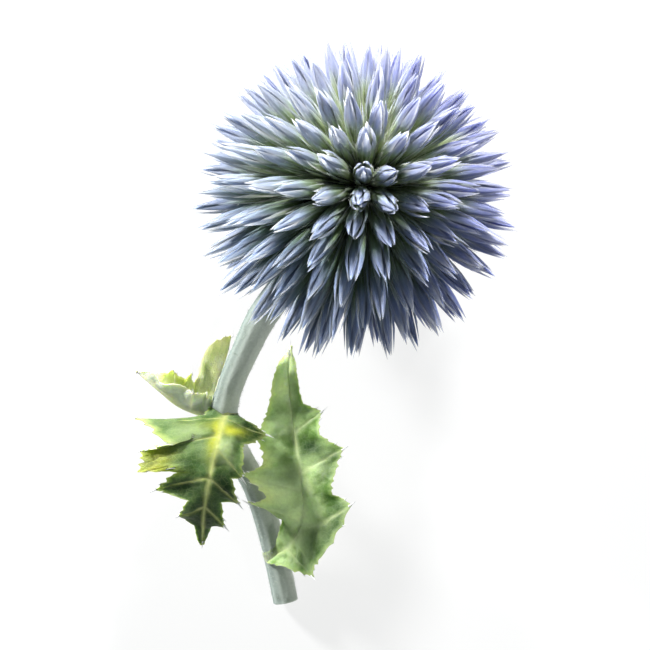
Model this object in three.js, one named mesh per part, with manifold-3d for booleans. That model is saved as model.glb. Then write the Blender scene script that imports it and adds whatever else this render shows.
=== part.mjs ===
// A globe thistle flower head, picked with a short leafy stretch of its stem and laid down on a surface.
// Millimetres, +Z up. The head lies at +Y and the stem's cut end at -Y. The origin is the bottom centre
// of the whole thing's box, on the surface.

import * as THREE from 'three';
import { mergeVertices } from 'three/addons/utils/BufferGeometryUtils.js';
import Module from 'manifold-3d';

const { Vector2, Vector3, MathUtils } = THREE;
const wasm = await Module();
wasm.setup();

// ---- driving dimensions -------------------------------------------------------------------------

const CLEARANCE = 0.3;          // gap kept between two pieces that meet

const HEAD_RADIUS = 22.5;       // middle of the globe to the bud tips
const HEAD_HEIGHT = 21.2;       // middle of the globe above the surface: the lowest tips are pressed short
const CORE_RADIUS = 6.5;        // the receptacle that every bud grows from
const CORE_SHIFT = [1.2, 1.4, 0.3];   // receptacle's middle from the globe's middle, away from the stem
const CORE_DETAIL = 2;          // how finely the receptacle's ball is faceted

const BUD_COUNT = 216;
const BUD_SIDES = 5;
const BUD_WIDTH = 2.5;          // across a bud at its fullest
const BUD_SHOULDER_WIDTH = 1.85;      // across it where its long point begins
const BUD_FOOT_WIDTH = 0.95;    // across its thin foot
const BUD_ROOT_DEPTH = 2.0;     // how far a bud's root is sunk in the receptacle
const BUD_FULLEST = 0.56;       // where along a bud it is widest
const BUD_SHOULDER = 0.8;       // where its long point begins
const SPREAD_JITTER = 1.7;      // degrees that a tip wanders from its even place
const REACH_JITTER = 0.035;     // share of the radius that a tip stands long or short
const JITTER_SEED = 20261;

const COLLAR_TIP_ANGLE = 12;    // degrees from the stem: buds nearer than this give way to it
const COLLAR_LEAN = 3;          // degrees that the nearest tips lean away from the stem
const COLLAR_ROOT_ANGLE = 31;   // degrees from the stem where the nearest roots sit
const COLLAR_END_ANGLE = 60;    // degrees from the stem where buds stand straight again

const STEM_SIDES = 10;
const STEM_STEPS = 26;
const STEM_ROUTE = [            // middle line from the head to the cut, measured from below the globe
  [-12.4, -15.6, 16.6],
  [-14.7, -19.9, 15.3],
  [-17.5, -26.4, 12.9],
  [-18.3, -30.4, 11.3],
  [-16.9, -34.6, 9.5],
  [-14.2, -39.8, 7.2],
  [-12.2, -45.8, 4.7],
  [-10.8, -51.6, 2.7],
  [-9.7, -57.0, 1.8],
];
const STEM_RADII = [1.9, 2.15, 1.95, 1.8, 2.0, 1.85, 1.75, 1.75, 1.8, 1.8];

const LEAF_THICKNESS = 0.7;
const LEAF_COLUMNS = 4;         // strips across a blade, two on each side of its midrib
const LEAF_WAVE = 0.55;         // how far the margins rise and fall
const LEAF_WAVE_STEP = 2.4;     // radians of that wave from one outline row to the next
const LEAF_SWEEP_POWER = 1.6;   // how late, from midrib to margin, a lobe turns forward

const COLOURS = {
  head: 0x8287c4,
  stem: 0xb4bfae,
  leaf_upper: 0xb3bf55,
  leaf_middle: 0x5f8148,
  leaf_right: 0x8fb26c,
};

// A leaf's outline rows run from its base to its tip. Each is [share of the midrib,
// width to the left, how far the left margin reaches forward, width to the right, the same forward].
// A wide row is a lobe's spine and a narrow row is the bay before the next lobe.
const LEAVES = [
  {
    name: 'leaf_upper',
    midrib: [[-18.6, -30.4, 9.6], [-21.6, -29.6, 9.8], [-24.4, -28.4, 10.8], [-27.2, -26.2, 11.8],
      [-30.6, -23.7, 11.4]],
    face: [[0.35, 0.9, 0.15], [0.5, 0.8, 0.3]],
    fold: 50,
    rows: [
      [0.00, 1.5, 0.0, 1.5, 0.0],
      [0.12, 2.7, 0.0, 4.2, 0.0],
      [0.19, 4.4, 0.5, 13.6, -1.0],
      [0.27, 4.4, 0.4, 8.6, 1.2],
      [0.34, 3.8, 0.2, 4.4, 0.6],
      [0.48, 4.6, 0.6, 4.8, 0.4],
      [0.58, 3.0, 0.0, 3.4, 0.0],
      [0.68, 2.6, 0.6, 4.0, 0.8],
      [0.78, 1.6, 0.0, 1.8, 0.0],
      [0.88, 1.0, 0.0, 1.0, 0.0],
      [1.00, 0.3, 0.0, 0.3, 0.0],
    ],
  },
  {
    name: 'leaf_middle',
    midrib: [[-17.9, -29.4, 12.2], [-18.4, -31.2, 15.4], [-19.2, -34.6, 17.9], [-20.2, -39.0, 17.8],
      [-21.0, -43.6, 15.0], [-21.4, -48.2, 10.6]],
    face: [[0.05, 0.55, 0.85], [-0.1, -0.5, 0.85]],
    fold: -10,
    rows: [
      [0.00, 2.2, 0.0, 2.2, 0.0],
      [0.10, 3.0, 0.0, 3.2, 0.0],
      [0.20, 6.6, -1.0, 12.6, -0.5],
      [0.29, 3.6, 0.4, 6.2, 3.0],
      [0.37, 4.0, 0.6, 10.7, 2.4],
      [0.48, 4.6, 1.6, 10.3, 4.0],
      [0.56, 3.0, 0.0, 4.6, 1.0],
      [0.65, 4.8, 2.0, 7.6, 3.0],
      [0.74, 2.2, 0.0, 2.4, 0.0],
      [0.82, 3.2, 1.6, 3.8, 1.8],
      [0.90, 1.2, 0.0, 1.3, 0.0],
      [1.00, 0.3, 0.0, 0.3, 0.0],
    ],
  },
  {
    name: 'leaf_right',
    midrib: [[-11.9, -50.6, 3.6], [-9.2, -48.9, 7.0], [-7.3, -45.0, 10.4], [-7.5, -38.6, 12.0],
      [-8.6, -31.0, 11.6], [-9.2, -25.2, 11.2], [-9.0, -20.4, 10.4]],
    face: [[-0.35, 0.3, 0.9], [-0.1, 0.25, 0.95]],
    fold: 12,
    rows: [
      [0.00, 1.0, 0.0, 1.0, 0.0],
      [0.12, 1.8, 0.0, 2.6, 0.2],
      [0.21, 3.6, 1.0, 6.8, 0.8],
      [0.28, 3.6, 0.0, 6.0, 0.8],
      [0.37, 7.8, 0.8, 7.6, 2.8],
      [0.43, 5.2, 0.0, 4.8, 0.4],
      [0.49, 8.2, 1.4, 5.4, 0.6],
      [0.55, 5.2, 0.0, 7.0, 0.6],
      [0.61, 5.4, 0.8, 3.8, 0.0],
      [0.67, 4.4, 0.0, 4.6, 0.8],
      [0.73, 3.4, 0.0, 1.9, 0.0],
      [0.83, 2.3, 0.0, 1.5, 0.0],
      [0.92, 1.4, 0.0, 1.0, 0.0],
      [1.00, 0.3, 0.0, 0.3, 0.0],
    ],
  },
];

// ---- small helpers ------------------------------------------------------------------------------

// A repeatable stream of numbers from 0 up to 1.
function seededStream(seed) {
  let state = seed;
  return () => {
    state = (1664525 * state + 1013904223) % 4294967296;
    return state / 4294967296;
  };
}

// Turns a closed three.js geometry into a solid, with its seam vertices merged and pole slivers dropped.
function toSolid(geometry) {
  const bare = geometry.clone();
  bare.deleteAttribute('normal');
  bare.deleteAttribute('uv');
  const merged = mergeVertices(bare, 1e-4);
  const corners = merged.index.array;
  const kept = [];
  for (let at = 0; at < corners.length; at += 3) {
    const [a, b, c] = [corners[at], corners[at + 1], corners[at + 2]];
    if (a !== b && b !== c && c !== a) kept.push(a, b, c);
  }
  const mesh = new wasm.Mesh({
    numProp: 3,
    vertProperties: Float32Array.from(merged.attributes.position.array),
    triVerts: Uint32Array.from(kept),
  });
  return new wasm.Manifold(mesh);
}

// Turns a solid back into a geometry.
function toGeometry(solid) {
  const mesh = solid.getMesh();
  const geometry = new THREE.BufferGeometry();
  geometry.setAttribute('position', new THREE.BufferAttribute(mesh.vertProperties, 3));
  geometry.setIndex(new THREE.BufferAttribute(mesh.triVerts, 1));
  geometry.computeVertexNormals();
  return geometry;
}

// The place at a share of a list of evenly numbered values, in straight steps.
function between(values, share) {
  const place = MathUtils.clamp(share, 0, 1) * (values.length - 1);
  const low = Math.min(Math.floor(place), values.length - 2);
  return MathUtils.lerp(values[low], values[low + 1], place - low);
}

function dressed(name, geometry, colour) {
  const material = new THREE.MeshStandardMaterial({ color: colour, roughness: 0.7, metalness: 0 });
  const mesh = new THREE.Mesh(geometry, material);
  mesh.name = name;
  return mesh;
}

// ---- places shared by the pieces ----------------------------------------------------------------

const globeMiddle = new Vector3(0, 0, HEAD_HEIGHT);
const coreMiddle = globeMiddle.clone().add(new Vector3(...CORE_SHIFT));
const stemWay = new Vector3(...STEM_ROUTE[0]).sub(coreMiddle).normalize();

const stemStart = coreMiddle.clone().addScaledVector(stemWay, CORE_RADIUS - BUD_ROOT_DEPTH);
const stemLine = new THREE.CatmullRomCurve3(
  [stemStart, ...STEM_ROUTE.map((point) => new Vector3(...point))],
  false,
  'centripetal',
);

// The stem's middle, radius and cross directions at a share of its route.
function stemAt(share) {
  const middle = stemLine.getPoint(share);
  const along = stemLine.getTangent(share);
  const side = new Vector3().crossVectors(along, new Vector3(0, 0, 1)).normalize();
  const top = new Vector3().crossVectors(side, along);
  return { middle, side, top, radius: between(STEM_RADII, share) };
}

// ---- stem ---------------------------------------------------------------------------------------

// A cylinder bent along the stem's route, thicker by the given extra.
function stemSolid(extra) {
  const geometry = new THREE.CylinderGeometry(1, 1, 1, STEM_SIDES, STEM_STEPS);
  const position = geometry.attributes.position;
  for (let at = 0; at < position.count; at += 1) {
    const share = 0.5 - position.getY(at);
    const { middle, side, top, radius } = stemAt(share);
    const point = middle
      .addScaledVector(side, -position.getX(at) * (radius + extra))
      .addScaledVector(top, position.getZ(at) * (radius + extra));
    position.setXYZ(at, point.x, point.y, point.z);
  }
  return toSolid(geometry);
}

function ball(radius) {
  const geometry = new THREE.IcosahedronGeometry(radius, CORE_DETAIL);
  geometry.translate(coreMiddle.x, coreMiddle.y, coreMiddle.z);
  return toSolid(geometry);
}

// ---- head ---------------------------------------------------------------------------------------

// One direction, by its angle from the stem and its turn round it.
function wayFromStem(angle, turn) {
  const across = new Vector3().crossVectors(stemWay, new Vector3(0, 0, 1)).normalize();
  const over = new Vector3().crossVectors(stemWay, across);
  return stemWay.clone().multiplyScalar(Math.cos(angle))
    .addScaledVector(across, Math.sin(angle) * Math.cos(turn))
    .addScaledVector(over, Math.sin(angle) * Math.sin(turn));
}

// Roots and tips of all buds, evenly spread on a golden spiral that starts at the stem. Those round
// the stem stand wide at the root and fold back along it, and the lowest stop at the surface.
function budPlaces() {
  const random = seededStream(JITTER_SEED);
  const goldenTurn = Math.PI * (3 - Math.sqrt(5));
  const places = [];
  for (let index = 0; index < BUD_COUNT; index += 1) {
    const angle = MathUtils.radToDeg(Math.acos(1 - (2 * index + 1) / BUD_COUNT));
    const turn = index * goldenTurn;
    const lean = (random() - 0.5) * 2 * SPREAD_JITTER;
    const swing = (random() - 0.5) * 2 * SPREAD_JITTER;
    const reach = HEAD_RADIUS * (1 + (random() - 0.5) * 2 * REACH_JITTER);
    const roll = random() * 2 * Math.PI;
    if (angle >= COLLAR_TIP_ANGLE) {
      const fold = Math.max(0, (COLLAR_END_ANGLE - angle) / (COLLAR_END_ANGLE - COLLAR_TIP_ANGLE));
      const rootAngle = angle + fold * (COLLAR_ROOT_ANGLE - COLLAR_TIP_ANGLE);
      const tipAngle = MathUtils.degToRad(angle + fold * COLLAR_LEAN + lean);
      const tipTurn = turn + MathUtils.degToRad(swing) / Math.max(Math.sin(tipAngle), 0.2);
      const root = coreMiddle.clone().addScaledVector(
        wayFromStem(MathUtils.degToRad(rootAngle), turn),
        CORE_RADIUS - BUD_ROOT_DEPTH,
      );
      const tip = globeMiddle.clone().addScaledVector(wayFromStem(tipAngle, tipTurn), reach);
      if (tip.z < 0) tip.lerp(root, tip.z / (tip.z - root.z));
      places.push({ root, tip, roll });
    }
  }
  return places;
}

// One bud: a five-sided spindle on a thin foot, with a long point.
function budSolid({ root, tip, roll }) {
  const way = tip.clone().sub(root);
  const length = way.length();
  const outline = [
    new Vector2(0, 0),
    new Vector2(BUD_FOOT_WIDTH / 2, 0),
    new Vector2(BUD_WIDTH / 2, length * BUD_FULLEST),
    new Vector2(BUD_SHOULDER_WIDTH / 2, length * BUD_SHOULDER),
    new Vector2(0, length),
  ];
  const geometry = new THREE.LatheGeometry(outline, BUD_SIDES, roll);
  const turn = new THREE.Quaternion().setFromUnitVectors(new Vector3(0, 1, 0), way.normalize());
  geometry.applyQuaternion(turn);
  geometry.translate(root.x, root.y, root.z);
  return toSolid(geometry);
}

function flowerHead() {
  let solid = ball(CORE_RADIUS);
  for (const place of budPlaces()) solid = solid.add(budSolid(place));
  return solid;
}

// ---- leaves -------------------------------------------------------------------------------------

// A thin closed shell round a grid of points: the grid, a copy of it behind, and a rim. Both faces are
// split into triangles alike.
function thickened(grid) {
  const { widthSegments: columns, heightSegments: rows } = grid.parameters;
  grid.computeVertexNormals();
  const position = grid.attributes.position;
  const normal = grid.attributes.normal;
  const count = position.count;
  const points = [];
  for (const sign of [1, -1]) {
    for (let at = 0; at < count; at += 1) {
      const point = new Vector3().fromBufferAttribute(position, at);
      const push = new Vector3().fromBufferAttribute(normal, at);
      point.addScaledVector(push, (sign * LEAF_THICKNESS) / 2);
      points.push(point.x, point.y, point.z);
    }
  }
  const faces = [...grid.index.array];
  for (let at = 0; at < grid.index.count; at += 3) {
    const [a, b, c] = [0, 2, 1].map((step) => grid.index.array[at + step] + count);
    faces.push(a, b, c);
  }
  const wide = columns + 1;
  const rim = [];
  for (let column = 0; column < columns; column += 1) rim.push(column);
  for (let row = 0; row < rows; row += 1) rim.push(row * wide + columns);
  for (let column = columns; column > 0; column -= 1) rim.push(rows * wide + column);
  for (let row = rows; row > 0; row -= 1) rim.push(row * wide);
  rim.forEach((here, place) => {
    const next = rim[(place + 1) % rim.length];
    faces.push(here, next, next + count);
    faces.push(here, next + count, here + count);
  });
  const shell = new THREE.BufferGeometry();
  shell.setAttribute('position', new THREE.Float32BufferAttribute(points, 3));
  shell.setIndex(faces);
  return shell;
}

// A lobed blade laid on its arched midrib, and cut clear of the stem that it clasps.
function leafSolid({ midrib, face, fold, rows }) {
  const line = new THREE.CatmullRomCurve3(midrib.map((point) => new Vector3(...point)));
  const faceStart = new Vector3(...face[0]);
  const faceEnd = new Vector3(...face[1]);
  const grid = new THREE.PlaneGeometry(1, 1, LEAF_COLUMNS, rows.length - 1);
  const position = grid.attributes.position;
  const foldAngle = MathUtils.degToRad(fold);
  for (let at = 0; at < position.count; at += 1) {
    const order = Math.floor(at / (LEAF_COLUMNS + 1));
    const [share, left, leftForward, right, rightForward] = rows[order];
    const across = ((at % (LEAF_COLUMNS + 1)) / LEAF_COLUMNS) * 2 - 1;
    const out = Math.abs(across);
    const width = across < 0 ? left : right;
    const forward = across < 0 ? leftForward : rightForward;
    const along = line.getTangent(share);
    const up = faceStart.clone().lerp(faceEnd, share);
    const side = new Vector3().crossVectors(along, up).normalize();
    up.crossVectors(side, along);
    const wave = LEAF_WAVE * Math.sin(order * LEAF_WAVE_STEP + across) * out;
    const point = line.getPoint(share)
      .addScaledVector(side, across * width * Math.cos(foldAngle))
      .addScaledVector(up, out * width * Math.sin(foldAngle) + wave)
      .addScaledVector(along, forward * out ** LEAF_SWEEP_POWER);
    position.setXYZ(at, point.x, point.y, point.z);
  }
  return toSolid(thickened(grid)).subtract(stemSolid(CLEARANCE));
}

// ---- the whole flower ---------------------------------------------------------------------------

const flower = new THREE.Group();
const stem = stemSolid(0).subtract(ball(CORE_RADIUS + CLEARANCE));
flower.add(dressed('flower_head', toGeometry(flowerHead()), COLOURS.head));
flower.add(dressed('stem', toGeometry(stem), COLOURS.stem));
for (const leaf of LEAVES) flower.add(dressed(leaf.name, toGeometry(leafSolid(leaf)), COLOURS[leaf.name]));

// The origin moves to the bottom centre of the whole flower's box.
const box = new THREE.Box3().setFromObject(flower, true);
const middle = box.getCenter(new Vector3());
flower.position.set(-middle.x, -middle.y, -box.min.z);
flower.updateMatrixWorld(true);

export default flower;
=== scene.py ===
"""Globe thistle flower head, picked with a short leafy stretch of its stem and laid on a surface.

The frame gives the places of the head, the stem and the three leaves. Each of them is replaced here
by finer pieces that keep its form: buds built up of overlapping keeled bracts with fringed margins,
a ribbed and felted stem with a plain cut end, and thin leaves with veins, teeth and spines.

Lengths are metres, +Z is up, the head lies at +Y and the stem's cut end at -Y.
"""

from __future__ import annotations

import logging
import math
import random
from dataclasses import dataclass
from enum import Enum
from typing import Callable, Iterable, Sequence

import bmesh
import bpy
import numpy as np
from mathutils import Matrix, Vector, noise

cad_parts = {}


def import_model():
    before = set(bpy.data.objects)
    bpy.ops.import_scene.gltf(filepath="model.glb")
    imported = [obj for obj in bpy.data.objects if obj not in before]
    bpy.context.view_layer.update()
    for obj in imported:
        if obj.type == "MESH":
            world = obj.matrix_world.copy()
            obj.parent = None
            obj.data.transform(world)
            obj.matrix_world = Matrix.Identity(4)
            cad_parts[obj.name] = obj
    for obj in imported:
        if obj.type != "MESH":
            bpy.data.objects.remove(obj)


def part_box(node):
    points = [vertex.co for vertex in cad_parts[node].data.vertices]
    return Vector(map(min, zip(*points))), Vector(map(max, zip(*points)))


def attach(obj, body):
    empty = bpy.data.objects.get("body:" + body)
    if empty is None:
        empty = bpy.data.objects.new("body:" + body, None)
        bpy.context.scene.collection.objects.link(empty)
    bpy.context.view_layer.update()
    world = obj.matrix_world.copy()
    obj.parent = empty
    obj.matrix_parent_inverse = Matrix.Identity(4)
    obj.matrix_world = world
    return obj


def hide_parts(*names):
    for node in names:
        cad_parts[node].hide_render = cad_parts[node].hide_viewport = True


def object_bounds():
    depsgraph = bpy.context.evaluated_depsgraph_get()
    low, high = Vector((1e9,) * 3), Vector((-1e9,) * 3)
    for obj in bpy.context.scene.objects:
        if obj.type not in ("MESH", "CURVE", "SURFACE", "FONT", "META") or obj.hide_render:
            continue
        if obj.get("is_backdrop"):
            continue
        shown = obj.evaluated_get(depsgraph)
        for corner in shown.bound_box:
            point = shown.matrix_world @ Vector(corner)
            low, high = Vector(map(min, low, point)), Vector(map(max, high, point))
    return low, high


LOG = logging.getLogger("globe_thistle")
BODY = "root"
MM = 0.001
BAKE_MAP = "OFBake"
FLOOR_GAP = 0.02 * MM
UP = Vector((0.0, 0.0, 1.0))
Triple = tuple[float, float, float]
Stops = tuple[tuple[float, str], ...]
Thing = bpy.types.Object


# ---- selecting, copying and joining ---------------------------------------------------------------


def clear_selection() -> None:
    """Leaves edit mode and deselects every object."""
    if bpy.context.mode != "OBJECT":
        bpy.ops.object.mode_set(mode="OBJECT")
    bpy.ops.object.select_all(action="DESELECT")


def added(operator: Callable[..., object], **settings: object) -> Thing:
    """Adds one object with nothing else selected.

    Args:
        operator: Blender's operator for that kind of object.
        settings: What the operator is given.

    Returns:
        The new object, selected and active.
    """
    clear_selection()
    operator(**settings)
    return bpy.context.view_layer.objects.active


def unselected(piece: Thing) -> bmesh.types.BMesh:
    """Deselects all of a piece in edit mode, and gives its edit mesh.

    Args:
        piece: The object in edit mode.

    Returns:
        The mesh, of which parts can now be selected.
    """
    shape = bmesh.from_edit_mesh(piece.data)
    for part in (*shape.faces, *shape.edges, *shape.verts):
        part.select = False
    return shape


def select_height(piece: Thing, height: float) -> None:
    """Selects the vertices at one height, in edit mode, and what lies wholly between them.

    Args:
        piece: The object in edit mode.
        height: Their place along Z.
    """
    shape = unselected(piece)
    for vertex in shape.verts:
        vertex.select = abs(vertex.co.z - height) < 1e-6
    shape.select_flush(True)
    bmesh.update_edit_mesh(piece.data)


def points_of(mesh: bpy.types.Mesh) -> np.ndarray:
    """Gives the places of a mesh's vertices, one row each.

    Args:
        mesh: The mesh.

    Returns:
        Rows of X, Y and Z.
    """
    flat = np.empty(len(mesh.vertices) * 3, np.float32)
    mesh.vertices.foreach_get("co", flat)
    return flat.reshape(-1, 3).astype(float)


def move_points(mesh: bpy.types.Mesh, places: np.ndarray) -> None:
    """Puts a mesh's vertices at new places, one row each."""
    mesh.vertices.foreach_set("co", places.astype(np.float32).ravel())
    mesh.update()


def paint_points(mesh: bpy.types.Mesh, name: str, values: np.ndarray | float) -> None:
    """Keeps one number for each vertex, which the finishes read by its name.

    Args:
        mesh: The mesh.
        name: The attribute's name.
        values: One number for each vertex, or one for them all.
    """
    layer = mesh.attributes.get(name) or mesh.attributes.new(name, "FLOAT", "POINT")
    filled = np.broadcast_to(np.asarray(values, np.float32), (len(mesh.vertices),))
    layer.data.foreach_set("value", np.ascontiguousarray(filled))


def copy_at(model: Thing, place: Matrix) -> Thing:
    """Copies a model with its own mesh and puts the copy at a place.

    Args:
        model: What is copied.
        place: The copy's turn, size and place.

    Returns:
        The copy.
    """
    twin = model.copy()
    twin.data = model.data.copy()
    twin.matrix_world = place
    bpy.context.scene.collection.objects.link(twin)
    return twin


def join(parts: Sequence[Thing], name: str) -> Thing:
    """Joins objects into one named piece whose object sits at the origin, unturned.

    Args:
        parts: The objects, of which the first keeps its materials' order.
        name: The piece's name.

    Returns:
        The piece.
    """
    clear_selection()
    for part in parts:
        part.select_set(True)
    bpy.context.view_layer.objects.active = parts[0]
    if len(parts) > 1:
        bpy.ops.object.join()
    bpy.ops.object.transform_apply(location=True, rotation=True, scale=True)
    piece = parts[0]
    piece.name = piece.data.name = name
    return piece


def gather(copies: Sequence[Thing], model: Thing, name: str) -> Thing:
    """Joins a model's copies into one piece just above the floor, and deletes the model.

    Args:
        copies: The copies.
        model: The model that only served to be copied.
        name: The piece's name.

    Returns:
        The piece.
    """
    piece = join(copies, name)
    bpy.data.meshes.remove(model.data)
    points = points_of(piece.data)
    points[:, 2] = np.maximum(points[:, 2], FLOOR_GAP)
    move_points(piece.data, points)
    return piece


def cone(
    sides: int, width: float, length: float, middle: Vector, way: Vector, mapped: bool = True
) -> Thing:
    """Models a slim cone, for a hair or a spine.

    Args:
        sides: How many sides it has.
        width: Its width at the foot.
        length: Its length.
        middle: Where the middle of its axis is.
        way: The direction from its foot to its point.
        mapped: Whether it gets the primitive's own texture map.

    Returns:
        The cone.
    """
    return added(
        bpy.ops.mesh.primitive_cone_add, vertices=sides, radius1=width / 2, radius2=0.0, depth=length,
        location=middle, rotation=UP.rotation_difference(way).to_euler(), calc_uvs=mapped,
    )


def stand_in_for(piece: Thing, node: str, slot: str) -> None:
    """Hands a finished piece over to the frame in place of a node of the solid model.

    Args:
        piece: The finished piece.
        node: The node that it replaces.
        slot: The record's material slot, which is only logged.
    """
    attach(piece, BODY)
    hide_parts(node)
    faces = len(piece.data.polygons)
    LOG.info("%s stands for %s: %d faces, slot %s", piece.name, node, faces, slot)


def smoothstep(low: float, high: float, value: np.ndarray) -> np.ndarray:
    """Rises smoothly from 0 at the low value to 1 at the high one."""
    share = np.clip((value - low) / (high - low), 0.0, 1.0)
    return share * share * (3.0 - 2.0 * share)


# ---- shader building ------------------------------------------------------------------------------


def srgb(code: str) -> tuple[float, float, float, float]:
    """Turns a colour as painters write it, such as "8f86c9", into the renderer's linear one.

    Args:
        code: Red, green and blue, two hexadecimal digits each.

    Returns:
        The linear colour, wholly opaque.
    """
    parts = [int(code[at : at + 2], 16) / 255 for at in (0, 2, 4)]
    linear = [part / 12.92 if part <= 0.04045 else ((part + 0.055) / 1.055) ** 2.4 for part in parts]
    return (*linear, 1.0)


class Wire:
    """A shader value that takes part in Python sums. Each sum on it adds its Math node."""

    def __init__(self, bench: Bench, socket: bpy.types.NodeSocket) -> None:
        """Wraps the output socket of a node on a bench."""
        self.bench = bench
        self.socket = socket

    def _sum(self, operation: str, first: Wire | float, second: Wire | float) -> Wire:
        """Adds the Math node for one operation on two values."""
        return self.bench.add("ShaderNodeMath", {"operation": operation}, {0: first, 1: second})

    def __add__(self, other: Wire | float) -> Wire:
        """Adds another value."""
        return self._sum("ADD", self, other)

    __radd__ = __add__

    def __sub__(self, other: Wire | float) -> Wire:
        """Takes another value away."""
        return self._sum("SUBTRACT", self, other)

    def __rsub__(self, other: float) -> Wire:
        """Takes this value away from a number."""
        return self._sum("SUBTRACT", other, self)

    def __mul__(self, other: Wire | float) -> Wire:
        """Multiplies by another value."""
        return self._sum("MULTIPLY", self, other)

    __rmul__ = __mul__

    def step(self, low: float, high: float) -> Wire:
        """Rises smoothly from 0 where this value is low to 1 where it is high."""
        sockets = {"Value": self, "From Min": low, "From Max": high}
        return self.bench.add("ShaderNodeMapRange", {"interpolation_type": "SMOOTHSTEP"}, sockets)


class Bench:
    """The node tree of one material under construction."""

    def __init__(self, name: str) -> None:
        """Starts a material that holds only its surface shader and output.

        Args:
            name: The material's name.
        """
        self.material = bpy.data.materials.new(name)
        self.material.use_nodes = True
        self.tree = self.material.node_tree
        self.shader = self.tree.nodes["Principled BSDF"]

    def add(
        self,
        kind: str,
        settings: dict[str, object] | None = None,
        sockets: dict[int | str, object] | None = None,
        output: int | str = 0,
    ) -> Wire:
        """Adds one node.

        Args:
            kind: The node's type.
            settings: Its own settings, set first. "stops" are a colour ramp's places and colours.
            sockets: Values or wires for its inputs, by number or name.
            output: The output that is wanted, by number or name.

        Returns:
            The wanted output.
        """
        node = self.tree.nodes.new(kind)
        for key, value in (settings or {}).items():
            if key == "stops":
                self._set_stops(node.color_ramp, value)
            else:
                setattr(node, key, value)
        for key, value in (sockets or {}).items():
            self.put(node.inputs[key], value)
        return Wire(self, node.outputs[output])

    def put(self, socket: bpy.types.NodeSocket, value: object) -> None:
        """Links a wire to a socket, or sets the socket to a plain value.

        Args:
            socket: The input.
            value: What it gets.
        """
        if isinstance(value, Wire):
            self.tree.links.new(value.socket, socket)
        else:
            socket.default_value = value

    @staticmethod
    def _set_stops(ramp: bpy.types.ColorRamp, stops: Stops) -> None:
        """Gives a colour ramp its places and colours.

        Args:
            ramp: The ramp.
            stops: Places from 0 to 1, each with its colour.
        """
        while len(ramp.elements) < len(stops):
            ramp.elements.new(1.0)
        for element, (place, code) in zip(ramp.elements, stops):
            element.position = place
            element.color = srgb(code)

    def value(self, name: str) -> Wire:
        """Reads a number that the piece's mesh keeps for each vertex."""
        return self.add("ShaderNodeAttribute", {"attribute_name": name}, output="Fac")

    def place(self) -> Wire:
        """Gives the place on the piece, in metres."""
        return self.add("ShaderNodeTexCoord", output="Object")

    def vector(self, x: Wire | float, y: Wire | float, z: Wire | float) -> Wire:
        """Puts three values together as a vector."""
        return self.add("ShaderNodeCombineXYZ", sockets={0: x, 1: y, 2: z})

    def noise(self, where: Wire, scale: float, detail: float = 3.0) -> Wire:
        """Gives soft noise of about 0 to 1, at so many blotches to a unit."""
        sockets = {"Vector": where, "Scale": scale, "Detail": detail}
        return self.add("ShaderNodeTexNoise", sockets=sockets, output="Fac")

    def ramp(self, factor: Wire, stops: Stops) -> Wire:
        """Turns a value into a colour by a ramp's places and colours."""
        return self.add("ShaderNodeValToRGB", {"stops": stops}, {"Fac": factor}, "Color")

    def mix(self, factor: Wire | float, first: Wire | str, second: Wire | str) -> Wire:
        """Blends from the first colour, at a factor of 0, to the second, at 1.

        Args:
            factor: How much of the second colour shows.
            first: The first colour.
            second: The second colour.

        Returns:
            The blend.
        """
        pair = [srgb(colour) if isinstance(colour, str) else colour for colour in (first, second)]
        settings = {"data_type": "RGBA", "clamp_factor": True}
        return self.add("ShaderNodeMix", settings, {0: factor, 6: pair[0], 7: pair[1]}, 2)

    def coats(self, colour: Wire | str, *layers: tuple[Wire, Wire | str]) -> Wire:
        """Lays further colours over a first one.

        Args:
            colour: The first colour.
            layers: How much of each further colour shows, from 0 to 1, and that colour.

        Returns:
            The colour with all of them on it.
        """
        for share, layer in layers:
            colour = self.mix(share, colour, layer)
        return colour

    def shade(self, colour: Wire, other: Wire) -> Wire:
        """Multiplies a colour by a brightness or by a second colour."""
        return self.add("ShaderNodeVectorMath", {"operation": "MULTIPLY"}, {0: colour, 1: other})

    def bump(self, height: Wire, depth: float, strength: float = 1.0) -> Wire:
        """Turns a height of 0 to 1 into a surface normal, for so many metres from low to high."""
        sockets = {"Height": height, "Distance": depth, "Strength": strength}
        return self.add("ShaderNodeBump", sockets=sockets)

    def finish(self, **sockets: object) -> bpy.types.Material:
        """Sets the surface shader's sockets, named with underscores, and gives the material.

        Args:
            sockets: Values or wires by the names of the inputs.

        Returns:
            The material.
        """
        for key, value in sockets.items():
            self.put(self.shader.inputs[key.replace("_", " ")], value)
        return self.material


# ---- finishes -------------------------------------------------------------------------------------


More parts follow.
